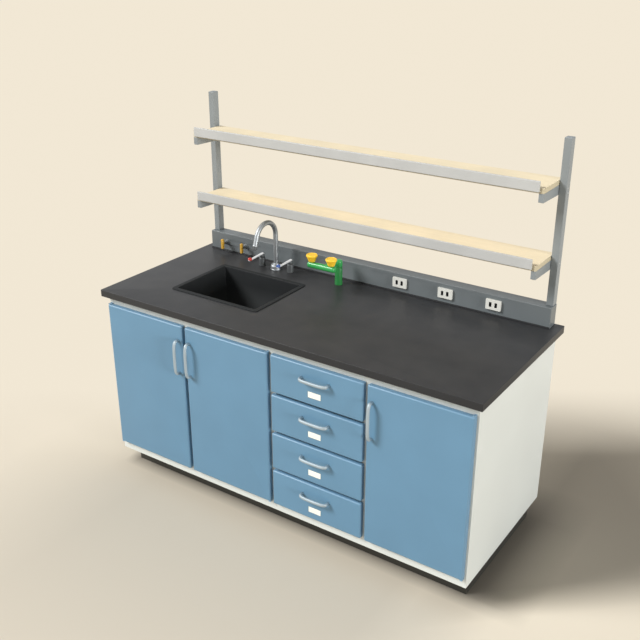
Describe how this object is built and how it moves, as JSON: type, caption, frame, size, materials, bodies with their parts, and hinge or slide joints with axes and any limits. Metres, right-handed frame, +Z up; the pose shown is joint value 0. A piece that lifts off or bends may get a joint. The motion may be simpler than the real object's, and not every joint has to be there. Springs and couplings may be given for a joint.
{
  "type": "lab bench with reagent shelf",
  "caption": "Laboratory bench with an inset sink and swan-neck tap, cupboards, a drawer stack, a service rail with sockets and gas taps, an eyewash and a tiered reagent shelf.",
  "frame": {"origin": "on the floor under the middle of the bench, on the underside of the plinth bearer", "axes": "+X along the bench to the user's right, +Y to the back where the shelf stands, +Z up"},
  "size_m": [1.8, 0.7845, 1.6456],
  "materials": {
    "white_board": "white melamine-faced board, satin",
    "black_plinth": "black laminate, satin",
    "blue_front": "blue laminate, satin",
    "epoxy": "black epoxy resin, satin",
    "sink_epoxy": "black epoxy resin, satin",
    "grey_metal": "grey powder coat",
    "rail_grey": "dark grey powder coat",
    "shelf_laminate": "pale cream laminate, satin",
    "lip_grey": "light grey powder coat",
    "nickel": "satin nickel",
    "chrome": "polished chrome",
    "steel": "plain zinc-plated steel",
    "green_coat": "green powder coat, gloss",
    "yellow_plastic": "yellow moulded plastic",
    "gas_yellow": "golden yellow coated metal",
    "white_plastic": "white moulded plastic",
    "drawer_board": "pale drawer board",
    "waste_plastic": "dark grey plastic"
  },
  "bodies": {
    "bench": {"plinth_frame": "black_plinth", "face_frame": "white_board", "left_side_panel": "white_board", "right_side_panel": "white_board", "left_partition": "white_board", "right_partition": "white_board", "cabinet_floor": "white_board", "back_panel": "white_board", "worktop": "epoxy", "sink_basin": "sink_epoxy", "sink_waste": "waste_plastic", "service_rail": "rail_grey", "left_upright": "grey_metal", "right_upright": "grey_metal", "lower_left_bracket": "grey_metal", "lower_right_bracket": "grey_metal", "upper_left_bracket": "grey_metal", "upper_right_bracket": "grey_metal", "lower_shelf_board": "shelf_laminate", "upper_shelf_board": "shelf_laminate", "lower_shelf_lip": "lip_grey", "upper_shelf_lip": "lip_grey", "tap_base": "chrome", "hot_valve": "chrome", "cold_valve": "chrome", "eyewash_post": "green_coat", "left_door_pivot": "steel", "middle_door_pivot": "steel", "right_door_pivot": "steel", "left_runners": "steel", "right_runners": "steel", "socket_plate_1": "white_plastic", "socket_plate_2": "white_plastic", "socket_plate_3": "white_plastic"},
    "left_door": {"left_door": "blue_front", "left_door_pull": "nickel"},
    "middle_door": {"middle_door": "blue_front", "middle_door_pull": "nickel"},
    "right_door": {"right_door": "blue_front", "right_door_pull": "nickel"},
    "drawer_1": {"drawer_1_front": "blue_front", "drawer_1_box": "drawer_board", "drawer_1_pull": "nickel"},
    "drawer_2": {"drawer_2_front": "blue_front", "drawer_2_box": "drawer_board", "drawer_2_pull": "nickel"},
    "drawer_3": {"drawer_3_front": "blue_front", "drawer_3_box": "drawer_board", "drawer_3_pull": "nickel"},
    "drawer_4": {"drawer_4_front": "blue_front", "drawer_4_box": "drawer_board", "drawer_4_pull": "nickel"},
    "spout": {"tap_spout": "chrome"},
    "hot_lever": {"hot_lever": "chrome"},
    "cold_lever": {"cold_lever": "chrome"},
    "left_gas_lever": {"left_gas_lever": "gas_yellow"},
    "right_gas_lever": {"right_gas_lever": "gas_yellow"},
    "eyewash": {"eyewash_yoke": "green_coat", "eyewash_left_cup": "yellow_plastic", "eyewash_right_cup": "yellow_plastic"}
  },
  "joints": [
    {"name": "left_door_hinge", "type": "hinge", "parent": "bench", "child": "left_door", "pos_m": [-0.866, -0.366, 0.49], "axis": [0, 0, -1], "range_deg": [0, 105]},
    {"name": "middle_door_hinge", "type": "hinge", "parent": "bench", "child": "middle_door", "pos_m": [-0.014, -0.366, 0.49], "axis": [0, 0, 1], "range_deg": [0, 90]},
    {"name": "right_door_hinge", "type": "hinge", "parent": "bench", "child": "right_door", "pos_m": [0.866, -0.366, 0.49], "axis": [0, 0, 1], "range_deg": [0, 105]},
    {"name": "drawer_1_slide", "type": "slide", "parent": "bench", "child": "drawer_1", "axis": [0, -1, 0], "range_m": [0, 0.37]},
    {"name": "drawer_2_slide", "type": "slide", "parent": "bench", "child": "drawer_2", "axis": [0, -1, 0], "range_m": [0, 0.37]},
    {"name": "drawer_3_slide", "type": "slide", "parent": "bench", "child": "drawer_3", "axis": [0, -1, 0], "range_m": [0, 0.37]},
    {"name": "drawer_4_slide", "type": "slide", "parent": "bench", "child": "drawer_4", "axis": [0, -1, 0], "range_m": [0, 0.37]},
    {"name": "spout_swivel", "type": "hinge", "parent": "bench", "child": "spout", "pos_m": [-0.422, 0.252, 0.93], "axis": [0, 0, 1], "range_deg": [-60, 60]},
    {"name": "hot_lever_turn", "type": "hinge", "parent": "bench", "child": "hot_lever", "pos_m": [-0.502, 0.252, 0.9406], "axis": [0, 0, -1], "range_deg": [0, 90]},
    {"name": "cold_lever_turn", "type": "hinge", "parent": "bench", "child": "cold_lever", "pos_m": [-0.342, 0.252, 0.9406], "axis": [0, 0, 1], "range_deg": [0, 90]},
    {"name": "left_gas_turn", "type": "hinge", "parent": "bench", "child": "left_gas_lever", "pos_m": [-0.762, 0.3097, 0.9453], "axis": [0, 1, 0], "range_deg": [0, 90]},
    {"name": "right_gas_turn", "type": "hinge", "parent": "bench", "child": "right_gas_lever", "pos_m": [-0.646, 0.3097, 0.9453], "axis": [0, 1, 0], "range_deg": [0, 90]},
    {"name": "eyewash_swing", "type": "hinge", "parent": "bench", "child": "eyewash", "pos_m": [-0.081, 0.252, 0.985], "axis": [0, 0, 1], "range_deg": [-60, 60]}
  ]
}
